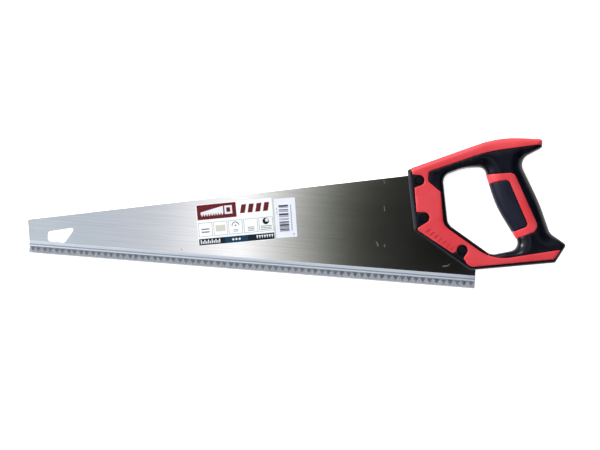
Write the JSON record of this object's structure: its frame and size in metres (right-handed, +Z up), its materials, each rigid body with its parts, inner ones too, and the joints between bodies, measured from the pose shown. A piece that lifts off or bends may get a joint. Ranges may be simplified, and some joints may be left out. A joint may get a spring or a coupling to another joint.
{
  "type": "hand saw",
  "caption": "Straight-bladed hand saw with coarse teeth under a pull-off guard, a hang hole near the toe and a closed two-colour handle clamped on by barrel screws.",
  "frame": {"origin": "bottom centre of the bounding box, on the plane that the lower cheek of the handle rests on", "axes": "+X along the tooth line from the toe towards the handle, +Y from the teeth towards the spine, +Z up through the blade's thickness, with the labelled face up"},
  "size_m": [0.594, 0.1612, 0.0288],
  "materials": {
    "blade_steel": "cold-rolled strip, ground and lightly polished, fine grain along the blade",
    "guard_plastic": "extruded soft polyethylene, milky pale blue, half translucent",
    "core_black": "moulded polypropylene, bluish black, satin",
    "overmould_red": "moulded thermoplastic rubber, warm red, soft satin",
    "pad_black": "moulded thermoplastic rubber, blue-black, matt with fine stipple",
    "screw_black": "steel, black oxide",
    "label_film": "printed film, dark red and navy blocks on silver",
    "label_paper": "white coated paper sticker with plain dark bars"
  },
  "bodies": {
    "saw": {"blade": "blade_steel", "handle_core": "core_black", "cheek_overmould": "overmould_red", "grip_band": "overmould_red", "finger_pad": "pad_black", "saw_screw_1": "screw_black", "saw_screw_2": "screw_black", "saw_screw_3": "screw_black", "sleeve_nut_1": "screw_black", "sleeve_nut_2": "screw_black", "sleeve_nut_3": "screw_black", "main_label": "label_film", "barcode_label": "label_paper"},
    "guard": {"tooth_guard": "guard_plastic"}
  },
  "joints": [
    {"name": "guard_pull_off", "type": "slide", "parent": "saw", "child": "guard", "axis": [0, -1, 0], "range_m": [0, 0.03]}
  ]
}
